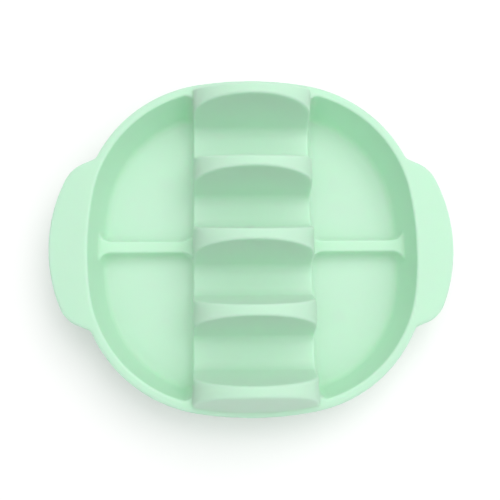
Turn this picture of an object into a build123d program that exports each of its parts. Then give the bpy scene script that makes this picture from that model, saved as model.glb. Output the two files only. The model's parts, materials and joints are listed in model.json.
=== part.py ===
from build123d import *
import os
from math import atan2, degrees, sqrt

# Silicone divided plate for a small child, held to the table by four suction cups.
# Four low compartments lie round a raised rack whose arched ridges hold folded tacos.
# Millimetres. +Z up, +X to the right, -Y towards the child. The origin is on the table,
# under the middle of the plate, so z = 0 is the plane of the suction lips.

os.makedirs("parts", exist_ok=True)

# ---- Driving dimensions ----------------------------------------------------------

# Outline of the plate: a square with bowed sides and very round corners
half_width = 106.4
half_depth = 105.1
side_radius = 203.0
corner_radius = 84.8

# Heights above the table
skirt_bottom = 3.0
floor_underside = 10.5
floor_top = 13.5
divider_top = 24.1
trough_floor = 24.5
rim_lip = 40.3
ridge_crest = 64.0

# Silicone walls
wall = 3.0
wall_slope = 0.231          # how far the side wall leans out per mm of height
rim_width = 5.6             # from the inner lip to the outer edge
rim_fall = 0.153            # the rim and handles slope down and outward
edge_round = 1.2

# Grip handles at the left and right
handle_reach = 125.0
handle_radius = 95.5
handle_corner = 20.0
notch_x = 98.1
notch_y = 52.9
handle_edge_slope = 0.405
notch_round = 3.0
notch_search = 5.0          # the real notches lie this close to that

# Taco rack
rack_half_width = 36.9
rack_side_draft = 0.035
ridge_half_thickness = 3.15
ridge_draft = 0.25
ridge_places = (-89.5, -44.1, 0.0, 44.1, 89.5)
trough_round = 7.0
trough_run_out = 8.0        # the troughs are cut this far past the rack's sides
crest_round = 1.0
crest_thickness = 5.0
rack_spring = 40.9          # where the arches start, just above the lip
rack_foot = 38.6            # the ridges are rooted this high inside the plate
end_face_inset = 3.0        # where the rack's end faces meet the rim
end_face_slope = 0.392

# Low side dividers
divider_half_top = 3.65
divider_draft = 0.105
pocket_corner = 5.0
divider_flare = 7.0
pocket_floor_round = 4.5

# Suction cups, pushed into sockets under the compartments
cup_x = 55.0
cup_y = 44.0
cup_radius = 23.0
cup_lip = 0.8
seal_width = 2.0            # flat ring that meets the table
cup_dome = 1.8
hub_radius = 8.0
hub_top = 3.8
neck_radius = 3.4
head_radius = 5.4
head_bottom = 7.3
head_top = 9.0
running_gap = 0.05
skirt_mid_radius = 15.0     # a point on the back of the skirt
skirt_mid_top = 2.4
dome_mid_radius = 12.6      # a point on the underside of the dome
dome_mid_height = 1.3
lip_slope = 0.12
hub_slope = 0.1
head_edge = 0.6

# Sockets
boss_radius = 9.5
boss_bottom = 6.0
mouth_top = 7.2
pocket_radius = 5.8
pocket_top = 11.2

# Release tabs
tab_width = 12.0
tab_thickness = 1.8
tab_height = 1.5            # middle of its thickness above the table
tab_tip = 109.0             # from the middle of the plate
hinge_reach = 2.4           # hinge line beyond the edge of the cup
ear_half_height = 1.35
ear_root = 1.2              # overlap of the ear with the lip of the cup
ear_set_back = 0.6          # the ear stops short of the hinge line, so that the tab can turn
knuckle_radius = 0.9
grip_rib = 0.5
rib_places = (5.5, 7.5, 9.5)    # beyond the hinge line
rib_half_length = 3.6
tab_notch_width = 20.0
tab_notch_corner = 4.0

cup_reach = sqrt(cup_x**2 + cup_y**2)
hinge_line = cup_reach + cup_radius + hinge_reach


# ---- Outline helpers -------------------------------------------------------------


def corner_centre():
    """Centre of a corner arc that is tangent to both bowed sides."""
    centre_x = half_width - side_radius
    centre_y = half_depth - side_radius
    span = sqrt(centre_x**2 + centre_y**2)
    reach = sqrt((side_radius - corner_radius) ** 2 - (span / 2) ** 2)
    x = centre_x / 2 - reach * centre_y / span
    y = centre_y / 2 - reach * centre_x / span
    return x, y


corner_x, corner_y = corner_centre()
side_angle = degrees(atan2(corner_y, corner_x - (half_width - side_radius)))
end_angle = degrees(atan2(corner_y - (half_depth - side_radius), corner_x))


def quarter_outline(inset):
    """Draw the back right quarter of the outline: a side, the corner and an end, all tangent."""
    CenterArc((half_width - side_radius, 0), side_radius - inset, 0, side_angle)
    CenterArc((corner_x, corner_y), corner_radius - inset, side_angle, end_angle - side_angle)
    CenterArc((0, half_depth - side_radius), side_radius - inset, end_angle, 90 - end_angle)


def plate_face(height, inset):
    """The plate's outline at a height, drawn inset from the outer edge of the rim."""
    with BuildSketch(Plane.XY.offset(height)) as face:
        with BuildLine():
            quarter_outline(inset)
            mirror(about=Plane.XZ)
            mirror(about=Plane.YZ)
        make_face()
    return face.sketch


def inner_inset(height):
    """Inset of the compartments' outer wall."""
    return rim_width + (rim_lip - height) * wall_slope


def outer_inset(height):
    """Inset of the outside of the plate, one wall further out."""
    return inner_inset(height) - wall * sqrt(1 + wall_slope**2)


def rim_height(inset):
    """Top surface of the sloping rim."""
    return rim_lip - (rim_width - inset) * rim_fall


def end_inset(height):
    """Inset of the rack's leaning end faces."""
    return end_face_inset + (height - rim_height(end_face_inset)) * end_face_slope


def rack_side(height):
    """Half width of the rack at a height."""
    return rack_half_width + (rim_lip - height) * rack_side_draft


def divider_side(height):
    """Half thickness of a divider at a height."""
    return divider_half_top + (divider_top - height) * divider_draft


# ---- Plate body ------------------------------------------------------------------

rim_spread = 24.0
lip_overlap = 1.0           # the rim sheet carries on inward past the lip, then is cut back
rim_sheet = wall * sqrt(1 + rim_fall**2)
pan_top = rim_lip - 2.5     # the side wall is rooted in the rim


def rim_roof(drop):
    """Solid under the sloping rim surface, lowered by a distance."""
    edge = rim_height(-rim_spread) - drop
    loft([plate_face(edge - 2 * wall, -rim_spread), plate_face(edge, -rim_spread),
          plate_face(rim_height(rim_width + lip_overlap) - drop, rim_width + lip_overlap)],
         ruled=True)


with BuildPart() as rim_underside:
    rim_roof(rim_sheet)

with BuildPart() as rim:
    rim_roof(0)
    # Plan of the rim with its two handles
    with BuildSketch(Plane.XY.offset(floor_top)) as plan:
        with BuildLine():
            corner_y_at = notch_y - handle_edge_slope * (handle_reach - notch_x)
            inner_y_at = notch_y + handle_edge_slope * notch_x / 2
            Polyline((notch_x / 2, 0), (notch_x / 2, inner_y_at), (handle_reach + 1, corner_y_at),
                     (handle_reach + 1, 0))
            mirror(about=Plane.XZ)
        make_face()
        with Locations((handle_reach - handle_radius, 0)):
            Circle(handle_radius, mode=Mode.INTERSECT)
        handle_tips = plan.vertices().sort_by(Axis.X)[-2:]
        fillet(handle_tips, handle_corner)
        mirror(about=Plane.YZ)
        with BuildLine():
            quarter_outline(0)
            mirror(about=Plane.XZ)
            mirror(about=Plane.YZ)
        make_face()
        notches = plan.vertices().filter_by(
            lambda v: max(abs(abs(v.X) - notch_x), abs(abs(v.Y) - notch_y)) < notch_search)
        fillet(notches, notch_round)
    extrude(amount=rim_lip, mode=Mode.INTERSECT)
    add(rim_underside.part, mode=Mode.SUBTRACT)
    upright_faces = rim.faces().filter_by(lambda face: abs(face.normal_at().Z) < 0.01)
    fillet(upright_faces.edges().filter_by(Axis.Z, reverse=True), edge_round)

# Open space of one corner compartment, with its rounded corners and floor


def compartment_section(height):
    """Plan of the back right compartment at a height."""
    inset = inner_inset(height)
    with BuildSketch(Plane.XY.offset(height)) as section:
        with BuildLine():
            quarter_outline(inset)
            Polyline((0, half_depth - inset), (0, 0), (half_width - inset, 0))
        make_face()
        with Locations((rack_side(height), divider_side(height))):
            Rectangle(half_width, half_depth, align=(Align.MIN, Align.MIN), mode=Mode.INTERSECT)
        by_rack = section.vertices().sort_by(Axis.X)[:2].sort_by(Axis.Y)
        by_divider = section.vertices().sort_by(Axis.X)[-1]
        fillet([by_rack[0], by_divider], divider_flare)
        fillet(section.vertices().sort_by(Axis.Y)[-1], pocket_corner)
    return section.sketch


with BuildPart() as compartments:
    loft([compartment_section(floor_top), compartment_section(divider_top)], ruled=True)
    fillet(compartments.faces().sort_by(Axis.Z)[0].edges(), pocket_floor_round)
    mirror(about=Plane.XZ)
    mirror(about=Plane.YZ)


def side_section(height):
    """Plan of the open space above the divider, right of the rack."""
    inset = inner_inset(height)
    with BuildSketch(Plane.XY.offset(height)) as section:
        with BuildLine():
            quarter_outline(inset)
            Line((0, half_depth - inset), (0, 0))
            mirror(about=Plane.XZ)
        make_face()
        with Locations((rack_side(height), 0)):
            Rectangle(half_width, 2 * half_depth, align=(Align.MIN, Align.CENTER), mode=Mode.INTERSECT)
        fillet(section.vertices().sort_by(Axis.X)[:2], pocket_corner)
    return section.sketch


with BuildPart() as side_spaces:
    loft([side_section(divider_top), side_section(rim_lip + lip_overlap)], ruled=True)
    mirror(about=Plane.YZ)


# Rack: ridges, and the troughs between them


def arch(half, base, top):
    """Front view of the rack: upright sides under half an ellipse."""
    with BuildSketch(Plane.XZ) as front:
        with BuildLine():
            EllipticalCenterArc((0, rack_spring), half, top - rack_spring, arc_size=180)
            Polyline((-half, rack_spring), (-half, base), (half, base), (half, rack_spring))
        make_face()
    return front.sketch


def troughs(grow, reach, mode):
    """Cut the four troughs, each grown on all sides, across the rack."""
    cut_top = ridge_crest + 2 * wall
    cut_bottom = trough_floor - grow
    for near, far in zip(ridge_places[:-1], ridge_places[1:]):
        half_top = (far - near) / 2 - ridge_half_thickness + 2 * wall * ridge_draft + grow
        half_bottom = half_top - (cut_top - cut_bottom) * ridge_draft
        with BuildSketch(Plane.YZ.offset(-reach)) as section:
            with BuildLine():
                middle = (near + far) / 2
                Polyline((middle - half_top, cut_top), (middle - half_bottom, cut_bottom),
                         (middle + half_bottom, cut_bottom), (middle + half_top, cut_top), close=True)
            make_face()
            fillet(section.vertices().group_by(Axis.Y)[0], trough_round + grow)
        extrude(section.sketch, amount=2 * reach, mode=mode)


with BuildPart() as rack:
    loft([plate_face(height, end_inset(height)) for height in (rack_foot, ridge_crest + 1)], ruled=True)
    extrude(arch(rack_half_width, floor_top, ridge_crest), amount=half_depth, both=True,
            mode=Mode.INTERSECT)
    troughs(0, rack_half_width + trough_run_out, Mode.SUBTRACT)
    long_edges = rack.edges().filter_by(lambda edge: edge.length > rack_half_width)
    fillet(long_edges.filter_by_position(Axis.Z, rack_spring, ridge_crest + 1), crest_round)

with BuildPart() as rack_hollow:
    hollow_foot = floor_underside - 0.5
    loft([plate_face(hollow_foot, inner_inset(hollow_foot) + 1), plate_face(rim_lip, rim_width + 1),
          plate_face(ridge_crest, end_inset(ridge_crest) + wall)], ruled=True)
    extrude(arch(rack_half_width - wall, hollow_foot, ridge_crest - crest_thickness),
            amount=half_depth, both=True, mode=Mode.INTERSECT)
    troughs(wall, rack_half_width + wall, Mode.SUBTRACT)

# Underside: the hollow inside the skirt, and the four cup sockets

cup_places = [(side * cup_x, end * cup_y) for end in (-1, 1) for side in (-1, 1)]
cup_angles = [degrees(atan2(y, x)) for x, y in cup_places]

with BuildPart() as base_hollow:
    loft([plate_face(height, inner_inset(height)) for height in (0, floor_underside)], ruled=True)

with BuildPart() as bosses:
    with BuildSketch(Plane.XY.offset(boss_bottom)):
        with Locations(*cup_places):
            Circle(boss_radius)
    extrude(amount=floor_underside + 1 - boss_bottom)

with BuildPart() as sockets:
    with BuildSketch(Plane.XY.offset(boss_bottom - 1)):
        with Locations(*cup_places):
            Circle(neck_radius + running_gap)
    extrude(amount=mouth_top + 1 - boss_bottom + 1)
    with BuildSketch(Plane.XY.offset(mouth_top)):
        with Locations(*cup_places):
            Circle(pocket_radius)
    extrude(amount=pocket_top - mouth_top)

with BuildPart() as tab_notches:
    for angle in cup_angles:
        across = Plane(origin=(0, 0, 0), x_dir=Vector(0, 1, 0).rotate(Axis.Z, angle),
                       z_dir=Vector(1, 0, 0).rotate(Axis.Z, angle))
        with BuildSketch(across.offset(cup_reach + cup_radius / 2)):
            RectangleRounded(tab_notch_width, 2 * floor_underside, tab_notch_corner)
        extrude(amount=cup_radius)

with BuildPart() as plate:
    loft([plate_face(height, outer_inset(height)) for height in (skirt_bottom, pan_top)],
         ruled=True)
    add(rim.part)
    add(compartments.part, mode=Mode.SUBTRACT)
    add(side_spaces.part, mode=Mode.SUBTRACT)
    troughs(0, rack_half_width + trough_run_out, Mode.SUBTRACT)
    add(rack.part)
    add(base_hollow.part, mode=Mode.SUBTRACT)
    add(rack_hollow.part, mode=Mode.SUBTRACT)
    add(tab_notches.part, mode=Mode.SUBTRACT)
    add(bosses.part)
    add(sockets.part, mode=Mode.SUBTRACT)

plate.part.label = "plate_body"
export_step(plate.part, "parts/plate_body.step")

# ---- Suction cups and release tabs -----------------------------------------------


def radial_plane(angle):
    """Upright plane through the Z axis: its X points outward at an angle, its Y is up."""
    outward = Vector(1, 0, 0).rotate(Axis.Z, angle)
    return Plane(origin=(0, 0, 0), x_dir=outward, z_dir=outward.cross(Vector(0, 0, 1)))


for (x, y), angle in zip(cup_places, cup_angles):
    end_name = "front" if y < 0 else "rear"
    side_name = "left" if x < 0 else "right"
    upright = radial_plane(angle)

    # Cup: thin lip, shallow dome, and a stud whose head snaps into the socket
    with BuildPart() as cup:
        with BuildSketch(upright):
            with BuildLine():
                Spline((cup_reach + cup_radius, cup_lip), (cup_reach + skirt_mid_radius, skirt_mid_top),
                       (cup_reach + hub_radius, hub_top), tangents=((-1, lip_slope), (-1, hub_slope)))
                Polyline((cup_reach + hub_radius, hub_top), (cup_reach + neck_radius, hub_top),
                         (cup_reach + neck_radius, head_bottom), (cup_reach + head_radius, head_bottom),
                         (cup_reach + head_radius, head_bottom + head_edge),
                         (cup_reach + neck_radius, head_top), (cup_reach, head_top), (cup_reach, cup_dome))
                ThreePointArc((cup_reach, cup_dome), (cup_reach + dome_mid_radius, dome_mid_height),
                              (cup_reach + cup_radius - seal_width, 0))
                Polyline((cup_reach + cup_radius - seal_width, 0), (cup_reach + cup_radius, 0),
                         (cup_reach + cup_radius, cup_lip))
            make_face()
        revolve(axis=Axis((x, y, 0), (0, 0, 1)))
        # Ear that carries the tab's knuckle
        with BuildSketch(upright):
            with Locations((hinge_line - ear_set_back, tab_height)):
                Rectangle(hinge_reach - ear_set_back + ear_root, 2 * ear_half_height,
                          align=(Align.MAX, Align.CENTER))
            with Locations((hinge_line, tab_height)):
                Circle(knuckle_radius + running_gap, mode=Mode.SUBTRACT)
        extrude(amount=tab_width / 2, both=True)
    node = f"suction_cup_{end_name}_{side_name}"
    cup.part.label = node
    export_step(cup.part, f"parts/{node}.step")

    # Tab: a tongue with a rounded end and grip ribs, hinged on the ear
    with BuildPart() as tab:
        with BuildSketch(Plane(origin=(0, 0, tab_height - tab_thickness / 2),
                               x_dir=upright.x_dir, z_dir=(0, 0, 1))):
            with Locations((hinge_line, 0)):
                Rectangle(tab_tip - hinge_line - tab_width / 2, tab_width, align=(Align.MIN, Align.CENTER))
            with Locations((tab_tip - tab_width / 2, 0)):
                Circle(tab_width / 2)
        extrude(amount=tab_thickness)
        with BuildSketch(upright):
            with Locations(*[(hinge_line + reach, tab_height + tab_thickness / 2) for reach in rib_places]):
                Circle(grip_rib)
        extrude(amount=rib_half_length, both=True)
        # Knuckle: the tongue's root is as thick as the groove it turns in
        with BuildSketch(upright):
            with Locations((hinge_line, tab_height)):
                Circle(knuckle_radius)
        extrude(amount=tab_width / 2, both=True)
    node = f"release_tab_{end_name}_{side_name}"
    tab.part.label = node
    export_step(tab.part, f"parts/{node}.step")
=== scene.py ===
import json
from math import cos, exp, hypot, pi, sin

import bmesh
import bpy
from mathutils import Matrix, Vector


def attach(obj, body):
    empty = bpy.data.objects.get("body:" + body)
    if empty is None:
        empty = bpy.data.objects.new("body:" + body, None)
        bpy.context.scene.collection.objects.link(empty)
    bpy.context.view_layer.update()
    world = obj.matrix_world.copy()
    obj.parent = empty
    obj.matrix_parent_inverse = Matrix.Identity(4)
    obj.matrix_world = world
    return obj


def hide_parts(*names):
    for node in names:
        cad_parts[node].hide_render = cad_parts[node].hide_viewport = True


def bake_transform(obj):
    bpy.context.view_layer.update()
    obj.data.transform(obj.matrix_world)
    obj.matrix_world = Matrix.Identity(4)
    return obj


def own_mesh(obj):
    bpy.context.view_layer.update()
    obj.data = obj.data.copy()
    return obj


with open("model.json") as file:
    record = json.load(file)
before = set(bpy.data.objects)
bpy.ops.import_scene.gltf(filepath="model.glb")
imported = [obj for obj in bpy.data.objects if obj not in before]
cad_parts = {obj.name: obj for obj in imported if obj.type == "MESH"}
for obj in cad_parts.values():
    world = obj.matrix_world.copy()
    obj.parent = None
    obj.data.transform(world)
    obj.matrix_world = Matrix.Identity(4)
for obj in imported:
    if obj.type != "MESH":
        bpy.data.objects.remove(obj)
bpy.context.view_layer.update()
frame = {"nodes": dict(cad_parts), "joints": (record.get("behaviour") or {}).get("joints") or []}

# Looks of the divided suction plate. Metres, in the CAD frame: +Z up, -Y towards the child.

MM = 0.001

# ---- Sizes -----------------------------------------------------------------------

VOXEL = 0.75 * MM           # grid of the soft-edged copy of the plate
SOFT_PASSES = 8             # more passes round the plate's edges further
PLATE_TRIANGLES = 190_000

CUP_RADIUS = 23.0 * MM
CUP_LIP = 0.8 * MM
CUP_DOME = 1.8 * MM
SEAL_WIDTH = 2.0 * MM
HUB_RADIUS = 8.0 * MM
HUB_TOP = 3.8 * MM
NECK_RADIUS = 3.3 * MM
HEAD_RADIUS = 5.3 * MM
HEAD_BOTTOM = 7.3 * MM
HEAD_TOP = 9.0 * MM
TURNS = 128                 # segments round a cup

TAB_WIDTH = 12.0 * MM
TAB_THICKNESS = 1.8 * MM
TAB_RIBS = 3
TAB_RIB_PITCH = 2.0 * MM
TAB_RIB_HEIGHT = 0.45 * MM
TAB_RIB_WIDTH = 0.45 * MM   # half width at 1/e of the height
TAB_OVERLAP = 2.5 * MM      # how far the tongue starts inside the cup's edge
TAB_FLARE = 3.0 * MM        # how much wider than the tongue its root is, each side
TAB_FLARE_LENGTH = 4.5 * MM
HINGE_PAST_EDGE = 2.4 * MM

FLOOR_DROP = 0.02 * MM      # the paper lies this far below the suction lips
FLOOR_SIZE = 6.0
FLOOR_STEPS = 12

ENDS = ("front", "rear")
SIDES = ("left", "right")

# ---- Helpers ---------------------------------------------------------------------


def link(obj):
    """Puts an object in the scene."""
    bpy.context.scene.collection.objects.link(obj)
    return obj


def mesh_object(name, bm, material):
    """Turns a bmesh into a smooth-shaded object."""
    mesh = bpy.data.meshes.new(name)
    bm.to_mesh(mesh)
    bm.free()
    mesh.materials.append(material)
    mesh.shade_smooth()
    return link(bpy.data.objects.new(name, mesh))


def bake_modifiers(obj):
    """Replaces an object's mesh by what its modifiers make of it."""
    graph = bpy.context.evaluated_depsgraph_get()
    made = bpy.data.meshes.new_from_object(obj.evaluated_get(graph), depsgraph=graph)
    obj.modifiers.clear()
    obj.data = made
    return obj


def lathe(name, profile, place, material):
    """Turns a closed list of (radius, height) points about an upright axis at place."""
    bm = bmesh.new()
    rings = []
    for radius, height in profile:
        if radius < 1e-6:
            rings.append([bm.verts.new((place[0], place[1], height))])
            continue
        ring = []
        for step in range(TURNS):
            angle = 2 * pi * step / TURNS
            x = place[0] + radius * cos(angle)
            y = place[1] + radius * sin(angle)
            ring.append(bm.verts.new((x, y, height)))
        rings.append(ring)
    for lower, upper in zip(rings[:-1], rings[1:]):
        for step in range(TURNS):
            after = (step + 1) % TURNS
            if len(lower) == 1:
                bm.faces.new((lower[0], upper[step], upper[after]))
            elif len(upper) == 1:
                bm.faces.new((lower[step], upper[0], lower[after]))
            else:
                bm.faces.new((lower[step], upper[step], upper[after], lower[after]))
    bmesh.ops.recalc_face_normals(bm, faces=bm.faces)
    return mesh_object(name, bm, material)


def smooth_curve(points, steps):
    """Points along a Catmull-Rom curve through a few given ones."""
    given = [Vector(p) for p in points]
    given = [2 * given[0] - given[1], *given, 2 * given[-1] - given[-2]]
    curve = []
    for before, start, end, after in zip(given[:-3], given[1:-2], given[2:-1], given[3:]):
        for step in range(steps):
            t = step / steps
            curve.append(0.5 * (2 * start + (end - before) * t
                                + (2 * before - 5 * start + 4 * end - after) * t**2
                                + (3 * start - before - 3 * end + after) * t**3))
    curve.append(given[-2])
    return [tuple(p) for p in curve]


# ---- Materials -------------------------------------------------------------------


def silicone(name, colour, roughness, grain):
    """Matte moulded silicone: slightly translucent, with cloudy pigment and a very fine grain."""
    material = bpy.data.materials.new(name)
    material.use_nodes = True
    nodes, links = material.node_tree.nodes, material.node_tree.links
    shader = nodes["Principled BSDF"]
    shader.inputs["IOR"].default_value = 1.41
    shader.inputs["Specular IOR Level"].default_value = 0.35
    shader.inputs["Subsurface Weight"].default_value = 0.45
    shader.inputs["Subsurface Radius"].default_value = (0.8, 1.6, 1.1)
    shader.inputs["Subsurface Scale"].default_value = 5.0 * MM
    shader.inputs["Sheen Weight"].default_value = 0.12
    shader.inputs["Sheen Roughness"].default_value = 0.55

    place = nodes.new("ShaderNodeTexCoord")
    clouds = nodes.new("ShaderNodeTexNoise")
    clouds.inputs["Scale"].default_value = 18.0
    clouds.inputs["Detail"].default_value = 3.0
    tint = nodes.new("ShaderNodeMix")
    tint.data_type = "RGBA"
    tint.inputs["A"].default_value = (*[0.985 * c for c in colour], 1)
    tint.inputs["B"].default_value = (*[min(1.0, 1.015 * c) for c in colour], 1)
    links.new(place.outputs["Object"], clouds.inputs["Vector"])
    links.new(clouds.outputs["Fac"], tint.inputs["Factor"])
    links.new(tint.outputs["Result"], shader.inputs["Base Color"])

    patches = nodes.new("ShaderNodeTexNoise")
    patches.inputs["Scale"].default_value = 60.0
    patches.inputs["Detail"].default_value = 4.0
    gloss = nodes.new("ShaderNodeMapRange")
    gloss.inputs["To Min"].default_value = roughness - 0.05
    gloss.inputs["To Max"].default_value = roughness + 0.05
    links.new(place.outputs["Object"], patches.inputs["Vector"])
    links.new(patches.outputs["Fac"], gloss.inputs["Value"])
    links.new(gloss.outputs["Result"], shader.inputs["Roughness"])

    speckle = nodes.new("ShaderNodeTexNoise")
    speckle.inputs["Scale"].default_value = 2600.0
    speckle.inputs["Detail"].default_value = 2.0
    bump = nodes.new("ShaderNodeBump")
    bump.inputs["Strength"].default_value = grain
    bump.inputs["Distance"].default_value = 0.05 * MM
    links.new(place.outputs["Object"], speckle.inputs["Vector"])
    links.new(speckle.outputs["Fac"], bump.inputs["Height"])
    links.new(bump.outputs["Normal"], shader.inputs["Normal"])
    return material


def floor_material():
    """Pale, even studio paper."""
    material = bpy.data.materials.new("studio_paper")
    material.use_nodes = True
    shader = material.node_tree.nodes["Principled BSDF"]
    shader.inputs["Base Color"].default_value = (0.95, 0.95, 0.95, 1)
    shader.inputs["Roughness"].default_value = 0.9
    return material


MINT = (0.53, 0.79, 0.605)
plate_silicone = silicone("plate_silicone", MINT, 0.55, 0.25)
cup_silicone = silicone("cup_silicone", MINT, 0.38, 0.08)

# ---- Plate -----------------------------------------------------------------------


def moulded_copy(node, name, material):
    """A copy of a CAD node with every edge softened, as silicone leaves its mould."""
    bm = bmesh.new()
    bm.from_mesh(frame["nodes"][node].data)
    bmesh.ops.remove_doubles(bm, verts=bm.verts, dist=0.001 * MM)
    piece = mesh_object(name, bm, material)
    grid = piece.modifiers.new("grid", "REMESH")
    grid.mode = "VOXEL"
    grid.voxel_size = VOXEL
    grid.use_smooth_shade = True
    soften = piece.modifiers.new("soften", "SMOOTH")
    soften.factor = 0.5
    soften.iterations = SOFT_PASSES
    bake_modifiers(piece)
    thin = piece.modifiers.new("thin", "DECIMATE")
    piece.data.calc_loop_triangles()
    thin.ratio = min(1.0, PLATE_TRIANGLES / len(piece.data.loop_triangles))
    bake_modifiers(piece)
    piece.data.materials.clear()
    piece.data.materials.append(material)
    piece.data.shade_smooth()
    return piece


plate = moulded_copy("plate_body", "moulded_plate", plate_silicone)
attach(plate, "plate")
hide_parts("plate_body")

# ---- Suction cups ----------------------------------------------------------------


def skirt_profile():
    """Half section of the soft skirt, from the middle of the dome round the lip to the hub."""
    edge = CUP_RADIUS
    seal = (edge - SEAL_WIDTH, 0.02 * MM, 0)
    lip_top = (edge - 0.5 * MM, CUP_LIP, 0)
    under = smooth_curve([
        (0, CUP_DOME, 0), (edge * 0.3, CUP_DOME * 0.93, 0), (edge * 0.6, CUP_DOME * 0.62, 0),
        (edge * 0.8, CUP_DOME * 0.28, 0), seal], 6)
    lip = smooth_curve([
        seal, (edge - 0.35 * MM, 0, 0), (edge - 0.02 * MM, 0.3 * MM, 0),
        (edge - 0.1 * MM, 0.62 * MM, 0), lip_top], 5)
    over = smooth_curve([
        lip_top, (edge * 0.85, 1.45 * MM, 0), (edge * 0.65, 2.35 * MM, 0),
        (HUB_RADIUS + 2.2 * MM, 3.2 * MM, 0), (HUB_RADIUS, HUB_TOP - 0.25 * MM, 0),
        (HUB_RADIUS - 0.6 * MM, HUB_TOP, 0)], 6)
    points = under[:-1] + lip[:-1] + over + [(NECK_RADIUS, HUB_TOP, 0), (0, HUB_TOP, 0)]
    return [(p[0], max(0.0, p[1])) for p in points]


def stud_profile():
    """Half section of the stud whose mushroom head holds the cup in its socket."""
    foot = HUB_TOP - 0.4 * MM
    head = smooth_curve([
        (HEAD_RADIUS - 0.3 * MM, HEAD_BOTTOM, 0), (HEAD_RADIUS, HEAD_BOTTOM + 0.35 * MM, 0),
        (HEAD_RADIUS - 0.8 * MM, HEAD_TOP - 0.5 * MM, 0), (NECK_RADIUS, HEAD_TOP, 0)], 5)
    points = [
        (0, foot, 0), (NECK_RADIUS, foot, 0), (NECK_RADIUS, HEAD_BOTTOM, 0), *head, (0, HEAD_TOP, 0)]
    return [(p[0], p[1]) for p in points]


def release_tab(name, outward, cup_edge, tip, hinge_height, material):
    """A tongue with rounded edges, a round tip and grip ribs, rooted in the lip of the cup."""
    root = cup_edge - TAB_OVERLAP
    along_steps, across_steps = 72, 24
    across = Vector((-outward.y, outward.x, 0))
    half = TAB_WIDTH / 2
    bm = bmesh.new()
    rings = []
    for i in range(along_steps + 1):
        reach = root + (tip - root) * i / along_steps
        past = min(1.0, max(0.0, reach - (tip - half)) / half)
        width = half * max(0.02, 1 - past**2) ** 0.5
        width += TAB_FLARE * max(0.0, 1 - (reach - root) / TAB_FLARE_LENGTH) ** 2
        swell = 0.0
        for rib in range(TAB_RIBS):
            middle = tip - half - (rib - 0.6) * TAB_RIB_PITCH
            swell += TAB_RIB_HEIGHT * exp(-((reach - middle) / TAB_RIB_WIDTH) ** 2)
        thick = TAB_THICKNESS / 2 * min(1.0, (1 - past**4) ** 0.5 + 0.12)
        ring = []
        for j in range(across_steps):
            angle = 2 * pi * j / across_steps
            c, s = cos(angle), sin(angle)
            side = width * (abs(c) ** 0.55) * (1 if c >= 0 else -1)
            up = thick * (abs(s) ** 0.75) * (1 if s >= 0 else -1)
            inner = max(0.0, 1 - (abs(side) / max(1e-6, 0.72 * width)) ** 4)
            if s > 0:
                up += swell * inner
            centre = outward * reach + across * side
            ring.append(bm.verts.new((centre.x, centre.y, hinge_height + up)))
        rings.append(ring)
    for first, second in zip(rings[:-1], rings[1:]):
        for j in range(across_steps):
            after = (j + 1) % across_steps
            bm.faces.new((first[j], first[after], second[after], second[j]))
    bm.faces.new(rings[0])
    bm.faces.new(rings[-1])
    bmesh.ops.recalc_face_normals(bm, faces=bm.faces)
    return mesh_object(name, bm, material)


joints = {joint["name"]: joint for joint in frame["joints"]}

for end in ENDS:
    for side in SIDES:
        where = f"{end}_{side}"
        hinge = joints[f"peel_{where}"]
        pivot = Vector(hinge["pos_m"])
        outward = Vector((pivot.x, pivot.y, 0)).normalized()
        tab_points = frame["nodes"][f"release_tab_{where}"].data.vertices
        tip = max(point.co.dot(outward) for point in tab_points)
        edge = hypot(pivot.x, pivot.y) - HINGE_PAST_EDGE
        centre = outward * (edge - CUP_RADIUS)

        skirt = lathe(f"cup_skirt_{where}", skirt_profile(), centre, cup_silicone)
        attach(skirt, "plate")
        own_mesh(skirt)
        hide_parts(f"suction_cup_{where}")

        stud = lathe(f"cup_stud_{where}", stud_profile(), centre, cup_silicone)
        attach(stud, "plate")

        tab = release_tab(f"tab_{where}", outward, edge, tip, pivot.z, cup_silicone)
        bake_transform(tab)
        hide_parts(f"release_tab_{where}")

# ---- Studio ----------------------------------------------------------------------



def studio_floor():
    """A square of paper under the plate, cut into a grid."""
    bm = bmesh.new()
    row = FLOOR_STEPS + 1
    for i in range(row):
        for j in range(row):
            x = FLOOR_SIZE * (i / FLOOR_STEPS - 0.5)
            y = FLOOR_SIZE * (j / FLOOR_STEPS - 0.5)
            bm.verts.new((x, y, -FLOOR_DROP))
    bm.verts.ensure_lookup_table()
    for i in range(FLOOR_STEPS):
        for j in range(FLOOR_STEPS):
            first = i * row + j
            corners = (first, first + row, first + row + 1, first + 1)
            bm.faces.new([bm.verts[k] for k in corners])
    return mesh_object("studio_floor", bm, floor_material())


floor = studio_floor()


def area_light(name, place, target, size, power, colour):
    """A square soft box aimed at a point."""
    lamp = bpy.data.lights.new(name, "AREA")
    lamp.shape = "SQUARE"
    lamp.size = size
    lamp.energy = power
    lamp.color = colour
    obj = link(bpy.data.objects.new(name, lamp))
    obj.location = place
    obj.rotation_euler = (Vector(target) - Vector(place)).to_track_quat("-Z", "Y").to_euler()
    return obj


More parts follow.
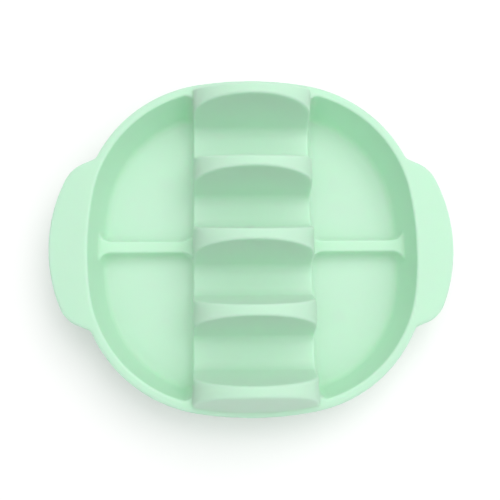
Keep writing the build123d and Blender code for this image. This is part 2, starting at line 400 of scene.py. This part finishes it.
def overhead_sky(lightest, upwards, darkest_at, lightest_at, darkest, backdrop_grey, strength):
    """A sky that fades from overhead to the horizon, with a pale backdrop in place of what is seen."""
    world = bpy.data.worlds.new("studio")
    bpy.context.scene.world = world
    world.use_nodes = True
    nodes, links = world.node_tree.nodes, world.node_tree.links
    background = nodes["Background"]
    background.inputs["Strength"].default_value = strength
    direction = nodes.new("ShaderNodeTexCoord")
    height = nodes.new("ShaderNodeVectorMath")
    height.operation = "DOT_PRODUCT"
    height.inputs[1].default_value = upwards
    shade = nodes.new("ShaderNodeMapRange")
    shade.inputs["From Min"].default_value = darkest_at
    shade.inputs["From Max"].default_value = lightest_at
    shade.inputs["To Min"].default_value = darkest
    shade.inputs["To Max"].default_value = lightest
    seen = nodes.new("ShaderNodeLightPath")
    backdrop = nodes.new("ShaderNodeMix")
    backdrop.data_type = "RGBA"
    backdrop.inputs["B"].default_value = (backdrop_grey, backdrop_grey, backdrop_grey, 1)
    links.new(direction.outputs["Generated"], height.inputs[0])
    links.new(height.outputs["Value"], shade.inputs["Value"])
    links.new(seen.outputs["Is Camera Ray"], backdrop.inputs["Factor"])
    links.new(shade.outputs["Result"], backdrop.inputs["A"])
    links.new(backdrop.outputs["Result"], background.inputs["Color"])


area_light("key_softbox", place=(0.4, 0.6, 1.35), target=(0, 0, 0.03), size=1.1, power=5.7,
           colour=(1.0, 0.99, 0.97))
overhead_sky(lightest=1.7, upwards=(0.12, 0.02, 0.95), darkest_at=0.2, lightest_at=0.9, darkest=0.15,
             backdrop_grey=1.1, strength=0.85)
bpy.context.scene.view_settings.view_transform = "Standard"

# Camera: close above the plate, a little to the left and towards the front
CAMERA_DISTANCE = 431.0 * MM
CAMERA_LOOKS_AT = Vector((-0.57 * MM, -0.75 * MM, 13.5 * MM))
CAMERA_PITCH, CAMERA_ROLL, CAMERA_YAW = -0.1832, 0.0439, 0.0064     # radians about X, Y and Z
CAMERA_SENSOR = 36.0
CAMERA_LENS = 47.8
CAMERA_SHIFT = (-1.1 / 500, 0.4 / 500)
CAMERA_CLIP_START = 0.01


def main_camera():
    """The camera of the main view."""
    data = bpy.data.cameras.new("camera")
    data.sensor_width = CAMERA_SENSOR
    data.lens = CAMERA_LENS
    data.shift_x, data.shift_y = CAMERA_SHIFT
    data.clip_start = CAMERA_CLIP_START
    camera = link(bpy.data.objects.new("camera", data))
    into_view = (Matrix.Rotation(CAMERA_YAW, 3, "Z") @ Matrix.Rotation(CAMERA_ROLL, 3, "Y")
                 @ Matrix.Rotation(CAMERA_PITCH, 3, "X"))
    turned = into_view.transposed()
    place = CAMERA_LOOKS_AT + turned @ Vector((0, 0, CAMERA_DISTANCE))
    camera.matrix_world = Matrix.Translation(place) @ turned.to_4x4()
    return camera


bpy.context.scene.camera = main_camera()
